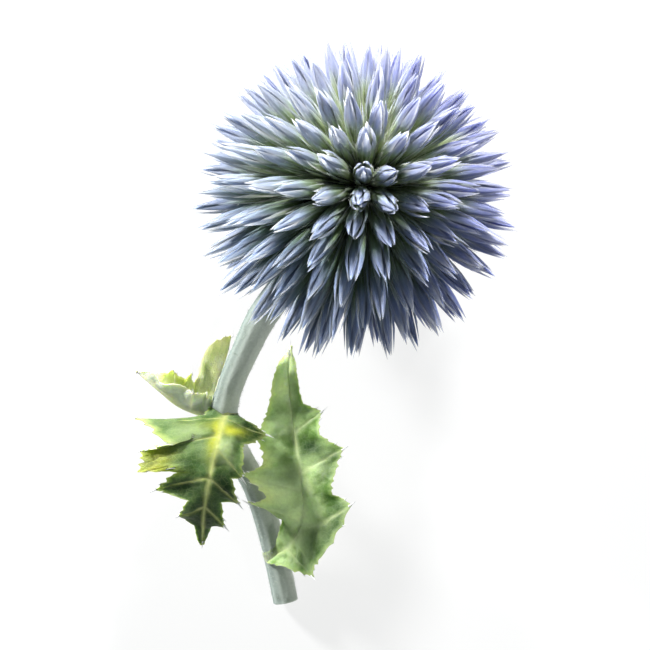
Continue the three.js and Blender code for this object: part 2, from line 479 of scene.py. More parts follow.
@dataclass(frozen=True)
class BractFinish:
    """Papery bract: painted shade at its root, green-cream low down, blue-violet at the tip, pale margins
    and keel.
    """

    name: str
    stops: Stops
    margin: str = "edefe2"
    keel: str = "e3e8dc"
    margin_share: float = 0.8
    keel_share: float = 0.2
    roughness: float = 0.4
    streak_depth: float = 0.03 * MM
    # Painted shade: the tint that deep lays on buds on the head's shaded side.
    shade: str = "a0b0c6"
    pale_tip: str = "dde4e6"
    blue_tip: str = "777ebe"
    tip_share: float = 0.78
    tone_drift: float = 0.16
    blotch_drift: float = 0.2
    tip_blue_drift: float = 0.16

    def material(self) -> bpy.types.Material:
        """Builds the finish, which reads where on its bract, and on which bud, each place is.

        Returns:
            The material.
        """
        bench = Bench(self.name)
        names = ("along", "across", "tone", "deep", "ripe")
        along, across, tone, deep, ripe = (bench.value(name) for name in names)
        streaks = bench.noise(bench.vector(across * 6.0, along * 1.4, tone * 90.0), 3.0)
        blotch = bench.noise(bench.vector(across, along * 5.0, tone * 40.0), 1.3)
        shifted = along + (tone - 0.5) * self.tone_drift + (blotch - 0.5) * self.blotch_drift
        shifted = shifted + (ripe - 0.6) * self.tip_blue_drift
        # The tips turn from pale to blue-violet by the bud's direction.
        tip = bench.mix(ripe, self.pale_tip, self.blue_tip)
        edge = across.step(0.5, 0.95) * (1.0 - along.step(0.75, 0.97)) * along.step(0.22, 0.42)
        ridge = (1.0 - across.step(0.0, 0.24)) * along.step(0.15, 0.4) * (1.0 - along.step(0.6, 0.9))
        colour = bench.coats(
            bench.ramp(shifted, self.stops), (along.step(0.55, 0.95) * self.tip_share, tip),
            (edge * self.margin_share, self.margin), (ridge * self.keel_share, self.keel),
        )
        colour = bench.shade(colour, 0.72 + streaks * 0.5 + (tone - 0.5) * 0.14)
        # Painted shade: buds on the head's shaded side are tinted darker and bluer.
        colour = bench.shade(colour, bench.mix(deep, "ffffff", self.shade))
        return bench.finish(
            Base_Color=colour,
            Roughness=self.roughness - 0.12 + streaks * 0.24,
            Normal=bench.bump(streaks, self.streak_depth, 0.8),
            Specular_IOR_Level=0.5,
            Subsurface_Weight=0.7,
            Subsurface_Radius=(1.0, 1.0, 0.9),
            Subsurface_Scale=1.2 * MM,
        )


@dataclass(frozen=True)
class CoreFinish:
    """Spongy receptacle, painted dark green as the shade between the buds' feet."""

    name: str = "receptacle"
    # Painted shade: both colours are dark green and stand in for the shade between the buds.
    painted_shade: str = "1e2a1b"
    grain: str = "4a5638"

    def material(self) -> bpy.types.Material:
        """Builds the finish.

        Returns:
            The material.
        """
        bench = Bench(self.name)
        grain = bench.noise(bench.place(), 900.0)
        colour = bench.mix(grain, self.painted_shade, self.grain)
        return bench.finish(Base_Color=colour, Roughness=0.85, Normal=bench.bump(grain, 0.1 * MM))


@dataclass(frozen=True)
class StemFinish:
    """Grey-green stem under white felt, with a wet pale cut."""

    name: str = "felted_stem"
    skin: str = "63726c"
    cloud: str = "788781"
    lit: str = "cacfc3"
    rib: str = "c6ccc6"
    pith: tuple[str, str] = ("cfd3a2", "a5b574")

    def material(self) -> bpy.types.Material:
        """Builds the finish, which reads where the ribs, the cut and the lit side are.

        Returns:
            The material.
        """
        bench = Bench(self.name)
        rib, cut, lit = (bench.value(name) for name in ("rib", "cut", "lit"))
        place = bench.place()
        felt = bench.noise(place, 2600.0, 4.0)
        cloud = bench.noise(place, 160.0, 3.0)
        colour = bench.coats(self.skin, (cloud, self.cloud), (lit, self.lit), (rib * 0.2, self.rib))
        colour = bench.shade(colour, 0.78 + felt * 0.38)
        pith = bench.mix(bench.noise(place, 1500.0), *self.pith)
        colour = bench.mix(cut, colour, pith)
        return bench.finish(
            Base_Color=colour,
            Roughness=0.82 - cut * 0.3,
            Normal=bench.bump(felt, 0.06 * MM),
            Sheen_Weight=0.15,
            Subsurface_Weight=0.5,
            Subsurface_Radius=(1.0, 1.0, 0.9),
            Subsurface_Scale=1.0 * MM,
        )


@dataclass(frozen=True)
class HairFinish:
    """Fine pale hair."""

    name: str = "felt_hair"
    pale: str = "c3c9c0"
    grey: str = "a9b3a4"

    def material(self) -> bpy.types.Material:
        """Builds the finish.

        Returns:
            The material.
        """
        bench = Bench(self.name)
        tone = bench.noise(bench.place(), 300.0)
        colour = bench.shade(bench.mix(tone, self.pale, self.grey), 0.9 + tone * 0.2)
        return bench.finish(Base_Color=colour, Roughness=0.6)


@dataclass(frozen=True)
class LeafFinish:
    """Leaf skin: mottled green above with pale veins, grey felt below, straw-coloured spines."""

    name: str
    light: str
    dark: str
    vein: str
    below: str
    # sunlit is painted light and deep is painted shade; both are laid on in patches.
    sunlit: str
    deep: str
    golden: str = "e9e07c"
    felt: str = "dfe4d6"
    spine: str = "e3dfa4"
    roughness: float = 0.58

    def material(self) -> bpy.types.Material:
        """Builds the finish, which reads the veins, patches, underside and spines of a leaf.

        Returns:
            The material.
        """
        bench = Bench(self.name)
        names = ("vein", "under", "spine", "sunlit", "golden", "deep", "margin")
        vein, under, spine, sunlit, golden, deep, margin = (bench.value(name) for name in names)
        place = bench.place()
        cloud = bench.noise(place, 330.0, 4.0)
        grain = bench.noise(place, 2300.0, 3.0)
        sockets = {"Vector": place, "Scale": 1500.0}
        net = bench.add("ShaderNodeTexVoronoi", {"feature": "DISTANCE_TO_EDGE"}, sockets, "Distance")
        mesh_line = 1.0 - net.step(0.0, 0.12)
        below = bench.mix(cloud, self.below, self.felt)
        # The sunlit patches are painted light and the deep patches painted shade.
        colour = bench.coats(
            self.dark, (cloud.step(0.38, 0.62), self.light), (sunlit, self.sunlit), (golden, self.golden),
            (deep, self.deep), (mesh_line * 0.05, self.vein), (under * 0.85, below),
            (vein * 0.75, self.vein), (margin * 0.35, self.vein),
        )
        colour = bench.shade(colour, 0.84 + grain * 0.3)
        colour = bench.mix(spine, colour, self.spine)
        height = grain * 0.5 - mesh_line * 0.2
        return bench.finish(
            Base_Color=colour,
            Roughness=self.roughness + under * 0.3,
            Normal=bench.bump(height, 0.09 * MM),
            Specular_IOR_Level=0.25,
            Subsurface_Weight=0.6,
            Subsurface_Radius=(0.8, 1.0, 0.3),
            Subsurface_Scale=0.8 * MM,
        )


# ---- the lines and places that the solid model also follows ---------------------------------------


class Route:
    """A smooth centripetal line through given points."""

    def __init__(self, points: Sequence[Vector]) -> None:
        """Takes the points in order."""
        self.points = list(points)

    def at(self, share: float) -> Vector:
        """Gives the place at a share of the line's points, 0 at the first and 1 at the last.

        Args:
            share: The share.

        Returns:
            The place.
        """
        last = len(self.points) - 1
        place = last * min(max(share, 0.0), 1.0)
        low = min(int(place), last - 1)
        weight = place - low
        start, end = self.points[low], self.points[low + 1]
        before = self.points[low - 1] if low > 0 else 2 * start - end
        after = self.points[low + 2] if low + 2 <= last else 2 * end - start
        gaps = [math.sqrt((b - a).length) for a, b in ((before, start), (start, end), (end, after))]
        lead = self._slope(before, start, end, gaps[0], gaps[1]) * gaps[1]
        trail = self._slope(start, end, after, gaps[1], gaps[2]) * gaps[1]
        square = -3 * start + 3 * end - 2 * lead - trail
        cube = 2 * start - 2 * end + lead + trail
        return start + lead * weight + square * weight**2 + cube * weight**3

    @staticmethod
    def _slope(first: Vector, middle: Vector, last: Vector, lead: float, trail: float) -> Vector:
        """Gives the line's slope at the middle one of three points, for the gaps between them."""
        return (middle - first) / lead - (last - first) / (lead + trail) + (last - middle) / trail

    def way(self, share: float) -> Vector:
        """Gives the line's direction at a share of it."""
        near = 1e-4
        return (self.at(min(share + near, 1.0)) - self.at(max(share - near, 0.0))).normalized()


def seeded_stream(seed: int) -> Callable[[], float]:
    """Gives a repeatable stream of numbers from 0 up to 1, the same as the solid model draws.

    Args:
        seed: The stream's start.

    Returns:
        What gives the next number each time it is called.
    """
    state = seed

    def draw() -> float:
        """Gives the next number.

        Returns:
            A number from 0 up to 1.
        """
        nonlocal state
        state = (1664525 * state + 1013904223) % 4294967296
        return state / 4294967296

    return draw


def moved(points: Iterable[Sequence[float]], shift: Vector) -> list[Vector]:
    """Turns places in millimetres below the globe into places in the frame."""
    return [Vector(point) * MM + shift for point in points]


@dataclass
class BudPlace:
    """Where one bud stands: its root in the receptacle, its tip and its roll."""

    root: Vector
    tip: Vector
    roll: float

    @property
    def length(self) -> float:
        """Length from root to tip."""
        return (self.tip - self.root).length

    def way(self) -> Vector:
        """Gives the direction from root to tip."""
        return (self.tip - self.root).normalized()

    def turn(self) -> Matrix:
        """Gives the turn and place that carry +Z at the origin to the bud's axis at its root."""
        lean = UP.rotation_difference(self.way())
        return Matrix.Translation(self.root) @ lean.to_matrix().to_4x4()


@dataclass
class Globe:
    """The ball of buds: where every bud's root and tip stand, by the rule of the solid model."""

    radius: float = 22.5 * MM
    height: float = 21.2 * MM
    core_radius: float = 6.5 * MM
    core_shift: Triple = (1.2, 1.4, 0.3)
    stem_from: Triple = (-12.4, -15.6, 16.6)
    root_depth: float = 2.0 * MM
    bud_count: int = 216
    spread_jitter: float = 1.7
    reach_jitter: float = 0.035
    seed: int = 20261
    collar_tip: float = 12.0
    collar_lean: float = 3.0
    collar_root: float = 31.0
    collar_end: float = 60.0

    def __post_init__(self) -> None:
        """Works the places out, then slides them to where the frame has the head."""
        self.middle = Vector((0.0, 0.0, self.height))
        self.core = self.middle + Vector(self.core_shift) * MM
        self.stem_way = (Vector(self.stem_from) * MM - self.core).normalized()
        self.buds = self._places()
        low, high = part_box("flower_head")
        xs, ys, zs = zip(*(bud.tip for bud in self.buds))
        self.shift = Vector((high.x - max(xs), high.y - max(ys), low.z - min(zs)))
        self.middle += self.shift
        self.core += self.shift
        for bud in self.buds:
            bud.root += self.shift
            bud.tip += self.shift

    def _way(self, angle: float, turn: float) -> Vector:
        """Gives one direction by its angle from the stem and its turn round it.

        Args:
            angle: The angle from the stem, in radians.
            turn: The turn round it, in radians.

        Returns:
            The direction, of length 1.
        """
        across = self.stem_way.cross(UP).normalized()
        over = self.stem_way.cross(across)
        ring = across * math.cos(turn) + over * math.sin(turn)
        return self.stem_way * math.cos(angle) + ring * math.sin(angle)

    def _places(self) -> list[BudPlace]:
        """Gives every bud's place on a golden spiral that starts at the stem.

        Returns:
            The places, without those that the stem takes up.
        """
        draw = seeded_stream(self.seed)
        golden = math.pi * (3 - math.sqrt(5))
        collar = self.collar_end - self.collar_tip
        places = []
        for index in range(self.bud_count):
            angle = math.degrees(math.acos(1 - (2 * index + 1) / self.bud_count))
            turn = index * golden
            lean = (draw() - 0.5) * 2 * self.spread_jitter
            swing = (draw() - 0.5) * 2 * self.spread_jitter
            reach = self.radius * (1 + (draw() - 0.5) * 2 * self.reach_jitter)
            roll = draw() * 2 * math.pi
            if angle < self.collar_tip:
                continue
            fold = max(0.0, (self.collar_end - angle) / collar)
            root_angle = math.radians(angle + fold * (self.collar_root - self.collar_tip))
            tip_angle = math.radians(angle + fold * self.collar_lean + lean)
            tip_turn = turn + math.radians(swing) / max(math.sin(tip_angle), 0.2)
            root = self.core + self._way(root_angle, turn) * (self.core_radius - self.root_depth)
            tip = self.middle + self._way(tip_angle, tip_turn) * reach
            if tip.z < 0:
                tip = tip.lerp(root, tip.z / (tip.z - root.z))
            places.append(BudPlace(root, tip, roll))
        return places


# ---- the head -------------------------------------------------------------------------------------


class Whorl(Enum):
    """The rings of bracts that wrap one bud, from its heart outwards."""

    FLORET = "florets"
    INNER = "bracts_inner"
    MIDDLE = "bracts_middle"
    OUTER = "bracts_outer"
    BRISTLES = "bristles"


@dataclass
class Bract:
    """One kind of bract, modelled once for a bud of the model's length and copied round every bud.

    The model lies along +Z on the bud's surface at +X. A station is the share of the bud's length,
    and in millimetres the bud's radius there and the bract's half width. The last one is its point.
    Painted shade and the tips' blue are each a level at the head's heart and how it rises towards a side.
    """

    whorl: Whorl
    finish: BractFinish
    stations: tuple[Triple, ...]
    per_bud: int
    offset: float
    length_range: tuple[float, float]
    splay_range: tuple[float, float]
    ring: tuple[tuple[float, float], ...] = (
        (1.0, 0.0), (0.66, 0.56), (0.0, 1.0), (0.58, 0.0), (0.0, -1.0), (0.66, -0.56),
    )
    keel_height: float = 0.10 * MM
    hairs_a_side: int = 0
    hair_from: float = 0.35
    hair_length: float = 0.75 * MM
    hair_width: float = 0.075 * MM
    model_length: float = 18.0 * MM
    fold_angle: float = math.radians(38)
    bake_columns: int = 40
    hair_strip: float = 0.1
    # Painted shade: buds that point towards -X and -Y are tinted darker and bluer.
    shade: tuple[float, Triple] = (0.5, (-0.25, -0.6, 0.0))
    # The tips' blue rises on buds that point towards +X and falls on those that point up.
    tip_blue_lean: tuple[float, Triple] = (0.8, (0.55, 0.1, -0.35))
    turn_jitter: float = 0.09
    size_range: tuple[float, float] = (0.94, 1.06)
    tone_of_bud: float = 0.75
    seed: int = 1

    def _section(self, station: Triple) -> tuple[float, float, float, float]:
        """Gives a section's edge distance from the axis, height, depth to the keel and half width.

        Args:
            station: One row of the bract's stations.

        Returns:
            The four lengths, in metres.
        """
        share, radius, half = station[0], station[1] * MM, station[2] * MM
        edge = math.sqrt(max(radius**2 - half**2, 0.0))
        keel = self.keel_height * min(1.0, half / (0.4 * MM))
        return edge, share * self.model_length, radius - edge + keel, half

    def model(self) -> Thing:
        """Models the bract by extruding its section from station to station.

        Returns:
            The model, closed at both ends, with its fringe of hairs.
        """
        edge, height, depth, half = self._section(self.stations[0])
        piece = added(bpy.ops.mesh.primitive_circle_add, vertices=len(self.ring), radius=1.0)
        corners = sorted(piece.data.vertices, key=lambda v: math.atan2(v.co.y, v.co.x) % (2 * math.pi))
        for corner, (deep, wide) in zip(corners, self.ring):
            corner.co = (edge + deep * depth, wide * half, height)
        bpy.ops.object.mode_set(mode="EDIT")
        bpy.ops.mesh.select_all(action="SELECT")
        for station in self.stations[1:-1]:
            here = edge, height, depth, half
            edge, height, depth, half = self._section(station)
            bpy.ops.mesh.extrude_edges_move(
                TRANSFORM_OT_translate={"value": (edge - here[0], 0.0, height - here[1])}
            )
            bpy.ops.transform.resize(
                value=(depth / here[2], half / here[3], 1.0), center_override=(edge, 0.0, height)
            )
        point, top, _, _ = self._section(self.stations[-1])
        bpy.ops.mesh.extrude_edges_move(TRANSFORM_OT_translate={"value": (point - edge, 0.0, top - height)})
        bpy.ops.mesh.merge(type="CENTER")
        foot = self.stations[0][0] * self.model_length
        select_height(piece, foot)
        bpy.ops.mesh.extrude_edges_move(TRANSFORM_OT_translate={"value": (0.0, 0.0, -foot / 2)})
        bpy.ops.mesh.merge(type="CENTER")
        bpy.ops.mesh.select_all(action="SELECT")
        bpy.ops.mesh.normals_make_consistent(inside=False)
        bpy.ops.object.mode_set(mode="OBJECT")
        bpy.ops.object.shade_smooth_by_angle(angle=self.fold_angle)
        self._mark(piece.data)
        return join([piece, *self._hairs()], f"{self.whorl.value}_model")

    def _mark(self, mesh: bpy.types.Mesh) -> None:
        """Keeps how far along and across the bract each vertex is, and lays its bake map out.

        Args:
            mesh: The bract's mesh.
        """
        points = points_of(mesh)
        along = points[:, 2] / self.model_length
        reach = np.array([
            max(np.abs(points[np.abs(points[:, 2] - height) < 1e-5, 1]).max(), 1e-7)
            for height in points[:, 2]
        ])
        side = points[:, 1] / reach
        paint_points(mesh, "along", along)
        paint_points(mesh, "across", np.abs(side))
        left = self.hair_strip if self.hairs_a_side else 0.0
        chart = np.column_stack((left + (1 - left) * (0.5 + 0.5 * side), along))
        self._lay(mesh, chart)

    @staticmethod
    def _lay(mesh: bpy.types.Mesh, chart: np.ndarray) -> None:
        """Gives every corner of a mesh the bake place of its vertex.

        Args:
            mesh: The mesh.
            chart: The bake places, one row for each vertex.
        """
        layer = mesh.uv_layers.new(name=BAKE_MAP)
        corners = np.empty(len(mesh.loops), np.int32)
        mesh.loops.foreach_get("vertex_index", corners)
        layer.data.foreach_set("uv", chart[corners].astype(np.float32).ravel())

    def _hairs(self) -> list[Thing]:
        """Models the fringe on both margins: slim hairs that lean out and forward.

        Returns:
            The hairs.
        """
        hairs = []
        shares, radii, halves = zip(*self.stations[1:-1])
        strip = self.hair_strip
        for side in (-1.0, 1.0):
            for index in range(self.hairs_a_side):
                share = self.hair_from + (shares[-1] - self.hair_from) * (index + 0.5) / self.hairs_a_side
                across = (float(np.interp(share, shares, row)) for row in (radii, halves))
                edge, height, _, half = self._section((share, *across))
                way = Vector((0.25, side * (0.75 + 0.2 * (index % 2)), 1.0)).normalized()
                middle = Vector((edge, side * half * 0.96, height)) + way * self.hair_length * 0.4
                length = self.hair_length * (0.8 + 0.15 * (index % 3))
                hair = cone(3, self.hair_width, length, middle, way, mapped=False)
                paint_points(hair.data, "along", share)
                paint_points(hair.data, "across", 1.0)
                ends = ((0.0, 0.0), (0.9, 0.0), (0.45, 0.02), (0.4, 0.06))
                self._lay(hair.data, np.array([(strip * right, share + up) for right, up in ends]))
                hairs.append(hair)
        return hairs

    def piece(self, globe: Globe) -> Thing:
        """Copies the bract round every bud and joins the copies.

        Args:
            globe: The places of the buds.

        Returns:
            The finished piece.
        """
        model = self.model()
        model.data.materials.append(self.finish.material())
        chance = random.Random(self.seed)
        base_map = self._chart(model.data)
        rows = math.ceil(len(globe.buds) * self.per_bud / self.bake_columns)
        cell = np.array([1.0 / self.bake_columns, 1.0 / rows])
        inset = cell * 0.06
        copies = []
        for bud in globe.buds:
            tone = chance.random()
            longest = chance.randrange(self.per_bud)
            # deep is painted shade, from the bud's direction; the second value sets the tips' blue.
            deep, ripe = (
                min(max(level + bud.way().dot(Vector(side)), 0.0), 1.0)
                for level, side in (self.shade, self.tip_blue_lean)
            )
            for index in range(self.per_bud):
                length = chance.uniform(*self.length_range)
                if index == longest:
                    length = self.length_range[1]
                step = index + self.offset + chance.uniform(-self.turn_jitter, self.turn_jitter)
                turn = bud.roll + 2 * math.pi * step / self.per_bud
                splay = math.radians(chance.uniform(*self.splay_range))
                size = chance.uniform(*self.size_range)
                place = (
                    bud.turn()
                    @ Matrix.Rotation(turn, 4, "Z")
                    @ Matrix.Rotation(splay, 4, "Y")
                    @ Matrix.Diagonal((size, size, length * bud.length / self.model_length, 1.0))
                )
                twin = copy_at(model, place)
                own = self.tone_of_bud * tone + (1 - self.tone_of_bud) * chance.random()
                # deep holds the bud's painted shade.
                for name, value in (("tone", own), ("deep", deep), ("ripe", ripe)):
                    paint_points(twin.data, name, value)
                row, column = divmod(len(copies), self.bake_columns)
                laid = np.array([column, row]) * cell + inset + base_map * (cell - 2 * inset)
                twin.data.uv_layers[BAKE_MAP].data.foreach_set("uv", laid.astype(np.float32).ravel())
                copies.append(twin)
        return gather(copies, model, self.whorl.value)

    @staticmethod
    def _chart(mesh: bpy.types.Mesh) -> np.ndarray:
        """Reads the bake map of a mesh, one row for each corner.

        Args:
            mesh: The mesh.

        Returns:
            The bake places.
        """
        flat = np.empty(len(mesh.loops) * 2, np.float32)
        mesh.uv_layers[BAKE_MAP].data.foreach_get("uv", flat)
        return flat.reshape(-1, 2).astype(float)


@dataclass
class Head:
    """The flower head: a receptacle hidden under buds, each wrapped in whorls of bracts."""

    globe: Globe
    core_detail: int = 4
    core_pits: float = 0.35 * MM

    def bracts(self) -> list[Bract]:
        """Gives the kinds of bract, from a bud's heart outwards.

        Returns:
            One of each kind.
        """
        # Each ramp starts near-black at the root: painted shade deep between the buds.
        tip_stops = (
            (0.0, "0a1008"), (0.28, "2b3a20"), (0.44, "7f9050"), (0.58, "9aab78"),
            (0.70, "969fa0"), (0.80, "8f96b8"), (0.90, "989bca"), (1.0, "cdcfee"),
        )
        middle_stops = (
            (0.0, "0a1008"), (0.20, "364526"), (0.34, "93a558"), (0.48, "a8b978"),
            (0.62, "aaba92"), (0.74, "a0abb2"), (0.84, "a3a8ca"),
        )
        outer_stops = (
            (0.0, "0a1008"), (0.16, "3a4a26"), (0.30, "9db062"), (0.42, "b6c68c"), (0.58, "ccd7bb"),
        )
        bristle_stops = ((0.0, "10180c"), (0.22, "6f7d42"), (0.38, "dfe6b0"), (0.5, "eef0cf"))
        return [
            Bract(
                Whorl.FLORET,
                BractFinish("floret", tip_stops, margin_share=0.0, keel_share=0.0),
                (
                    (0.05, 0.25, 0.25), (0.40, 0.55, 0.55), (0.58, 0.76, 0.76), (0.72, 0.70, 0.70),
                    (0.84, 0.46, 0.46), (0.93, 0.22, 0.22), (0.98, 0.0, 0.0),
                ),
                per_bud=1, offset=0.0, length_range=(0.97, 0.99), splay_range=(0.0, 0.0),
                ring=((1.0, 0.0), (0.5, 0.87), (-0.5, 0.87), (-1.0, 0.0), (-0.5, -0.87), (0.5, -0.87)),
                keel_height=0.0, bake_columns=16, seed=10,
            ),
            Bract(
                Whorl.INNER,
                BractFinish("bract_inner", tip_stops, margin="e4e6ee", margin_share=0.4),
                (
                    (0.03, 0.36, 0.22), (0.24, 0.58, 0.38), (0.44, 0.84, 0.58), (0.58, 1.00, 0.70),
                    (0.70, 1.02, 0.66), (0.82, 0.84, 0.48), (0.92, 0.54, 0.24), (1.0, 0.22, 0.0),
                ),
                per_bud=5, offset=0.0, length_range=(0.90, 1.0), splay_range=(-0.4, 1.5),
                keel_height=0.16 * MM, seed=11,
            ),
            Bract(
                Whorl.MIDDLE,
                BractFinish("bract_middle", middle_stops),
                (
                    (0.03, 0.44, 0.24), (0.18, 0.70, 0.40), (0.34, 0.94, 0.52), (0.48, 1.11, 0.54),
                    (0.60, 1.20, 0.44), (0.71, 1.18, 0.25), (0.82, 1.08, 0.0),
                ),
                per_bud=5, offset=0.5, length_range=(0.80, 1.0), splay_range=(-0.1, 1.2),
                keel_height=0.14 * MM, hairs_a_side=4, seed=12,
            ),
            Bract(
                Whorl.OUTER,
                BractFinish("bract_outer", outer_stops),
                (
                    (0.03, 0.50, 0.22), (0.14, 0.76, 0.34), (0.27, 1.00, 0.38), (0.38, 1.14, 0.34),
                    (0.48, 1.24, 0.21), (0.60, 1.33, 0.0),
                ),
                per_bud=6, offset=0.0, length_range=(0.75, 1.0), splay_range=(0.0, 1.6),
                keel_height=0.12 * MM, hairs_a_side=4, hair_from=0.2, seed=13,
            ),
            Bract(
                Whorl.BRISTLES,
                BractFinish("bristle", bristle_stops, margin_share=0.3, keel_share=0.3),
                (
                    (0.04, 0.56, 0.12), (0.20, 0.92, 0.16), (0.38, 1.22, 0.12), (0.54, 1.46, 0.0),
                ),
                per_bud=8, offset=0.25, length_range=(0.6, 1.0), splay_range=(-0.5, 2.5),
                ring=((1.0, 0.0), (0.0, 1.0), (-0.6, 0.0), (0.0, -1.0)), seed=14,
            ),
        ]

    def receptacle(self) -> Thing:
        """Models the receptacle: a ball pitted between the buds' feet.

        Returns:
            The finished receptacle.
        """
        ball = added(
            bpy.ops.mesh.primitive_ico_sphere_add, subdivisions=self.core_detail,
            radius=self.globe.core_radius, location=self.globe.core,
        )
        core = join([ball], "receptacle")
        points = points_of(core.data)
        middle = np.array(self.globe.core)
        for index, point in enumerate(points):
            pit = noise.noise(Vector(point) / (1.1 * MM))
            points[index] = point + (point - middle) / self.globe.core_radius * self.core_pits * pit
        move_points(core.data, points)
        bpy.ops.object.shade_smooth()
        core.data.materials.append(CoreFinish().material())
        return core

    def build(self) -> None:
        """Builds every piece of the head."""
        stand_in_for(self.receptacle(), "flower_head", "bracts")
        for bract in self.bracts():
            stand_in_for(bract.piece(self.globe), "flower_head", "bracts")


# ---- the stem -------------------------------------------------------------------------------------


@dataclass
class Stem:
    """The felted stem: ribbed, a little thicker where the leaves sit, and cut across at its end."""

    globe: Globe
    route: tuple[Triple, ...] = (
        (-12.4, -15.6, 16.6), (-14.7, -19.9, 15.3), (-17.5, -26.4, 12.9), (-18.3, -30.4, 11.3),
        (-16.9, -34.6, 9.5), (-14.2, -39.8, 7.2), (-12.2, -45.8, 4.7), (-10.8, -51.6, 2.7),
        (-9.7, -57.0, 1.8),
    )
    radii: tuple[float, ...] = (1.9, 2.15, 1.95, 1.8, 2.0, 1.85, 1.75, 1.75, 1.8, 1.8)
    sides: int = 48
    rings: int = 130
    gap: float = 0.3 * MM
    ribs: int = 9
    rib_depth: float = 0.07 * MM
    wobble: float = 0.06 * MM
    cut_dish: float = 0.12 * MM
    pith_share: float = 0.55
    tuft_count: int = 1100
    tuft_hairs: int = 5
    hair_length: float = 0.6 * MM
    hair_width: float = 0.035 * MM
    hair_root: float = 0.04 * MM
    felt_end: float = 0.995
    bare_below: float = 0.3 * MM
    seed: int = 31

    def __post_init__(self) -> None:
        """Lays the middle line out from inside the receptacle to the cut end."""
        globe = self.globe
        start = globe.core + globe.stem_way * (globe.core_radius - globe.root_depth)
        self.line = Route([start, *moved(self.route, globe.shift)])
        shares = np.linspace(0.0, 1.0, 400)
        far = [(self.line.at(share) - globe.core).length for share in shares]
        self.start = float(shares[np.argmax(np.array(far) > globe.core_radius + self.gap)])
        self.route_shares = np.linspace(0.0, 1.0, len(self.radii))

    def radius(self, share: float) -> float:
        """Gives the stem's radius at a share of its line."""
        return float(np.interp(share, self.route_shares, self.radii)) * MM

    def cross(self, share: float) -> tuple[Vector, Vector, Vector, Vector]:
        """Gives the middle, side, top and along directions at a share of the line.

        Args:
            share: The share.

        Returns:
            The middle and the three directions.
        """
        along = self.line.way(share)
        side = along.cross(UP).normalized()
        return self.line.at(share), side, side.cross(along), along

    def _rib(self, angle: float, share: float) -> float:
        """Gives a rib's height of 0 to 1 at an angle round the stem."""
        drift = 0.5 * math.sin(share * 9.0) + 0.3 * math.sin(3 * angle + share * 14.0)
        return (0.5 + 0.5 * math.cos(self.ribs * angle + drift)) ** 1.5

    def shaft(self) -> Thing:
        """Models the stem itself.

        Returns:
            The finished shaft.
        """
        piece = added(bpy.ops.mesh.primitive_cylinder_add, vertices=self.sides, radius=1.0, depth=1.0)
        bpy.ops.object.mode_set(mode="EDIT")
        shape = unselected(piece)
        for edge in shape.edges:
            edge.select = abs(edge.verts[0].co.z - edge.verts[1].co.z) > 0.5
        bmesh.update_edit_mesh(piece.data)
        bpy.ops.mesh.subdivide(number_cuts=self.rings)
        for inset in (1 - self.pith_share, self.pith_share * 0.5):
            self._select_cut(piece)
            bpy.ops.mesh.inset(thickness=inset, use_relative_offset=False)
        bpy.ops.mesh.poke()
        bpy.ops.object.mode_set(mode="OBJECT")
        self._bend(piece.data)
        bpy.ops.object.shade_smooth_by_angle(angle=math.radians(50))
        piece.data.materials.append(StemFinish().material())
        piece.name = "stem_shaft"
        return piece

    @staticmethod
    def _select_cut(piece: Thing) -> None:
        """Selects the innermost face of the cut end, in edit mode.

        Args:
            piece: The stem, still straight.
        """
        shape = unselected(piece)
        ends = [face for face in shape.faces if face.normal.z < -0.9]
        middle = min(ends, key=lambda face: face.calc_center_median().xy.length)
        middle.select = True
        shape.faces.active = middle
        bmesh.update_edit_mesh(piece.data)

    def _bend(self, mesh: bpy.types.Mesh) -> None:
        """Lays the straight cylinder along the stem's line, with its ribs and node swellings.

        Args:
            mesh: The cylinder's mesh.
        """
        points = points_of(mesh)
        ribs, cuts, lit = (np.zeros(len(points)) for _ in range(3))
        for index, (x, y, z) in enumerate(points):
            share = self.start + (0.5 - z) * (1.0 - self.start)
            out = math.hypot(x, y)
            angle = math.atan2(y, x)
            rib = self._rib(angle, share)
            wobble = self.wobble * noise.noise(Vector((x * 2, y * 2, share * 30)))
            radius = self.radius(share) + self.rib_depth * (rib - 0.6) + wobble
            middle, side, top, along = self.cross(share)
            dish = self.cut_dish * (1 - out) if z < -0.499 else 0.0
            spot = middle + side * (x * radius) + top * (y * radius) - along * dish
            points[index] = (spot.x, spot.y, max(spot.z, FLOOR_GAP))
            ribs[index] = rib
            cuts[index] = 1.0 if z < -0.499 and out < 0.97 else 0.0
            lit[index] = 0.5 - 0.5 * x / max(out, 0.1)
        move_points(mesh, points)
        for name, values in (("rib", ribs), ("cut", cuts), ("lit", lit)):
            paint_points(mesh, name, values)

    def _tuft(self) -> Thing:
        """Models one small tuft of felt hairs that stand on the XY plane and lean apart.

        Returns:
            The tuft.
        """
        chance = random.Random(self.seed)
        hairs = []
        for _ in range(self.tuft_hairs):
            lean = Vector((chance.uniform(-1, 1), chance.uniform(-1, 1), 0.9)).normalized()
            foot = Vector((chance.uniform(-0.25, 0.25), chance.uniform(-0.25, 0.25), 0.0)) * MM
            length = self.hair_length * chance.uniform(0.6, 1.0)
            hairs.append(cone(3, self.hair_width, length, foot + lean * length * 0.42, lean))
        return join(hairs, "tuft_model")

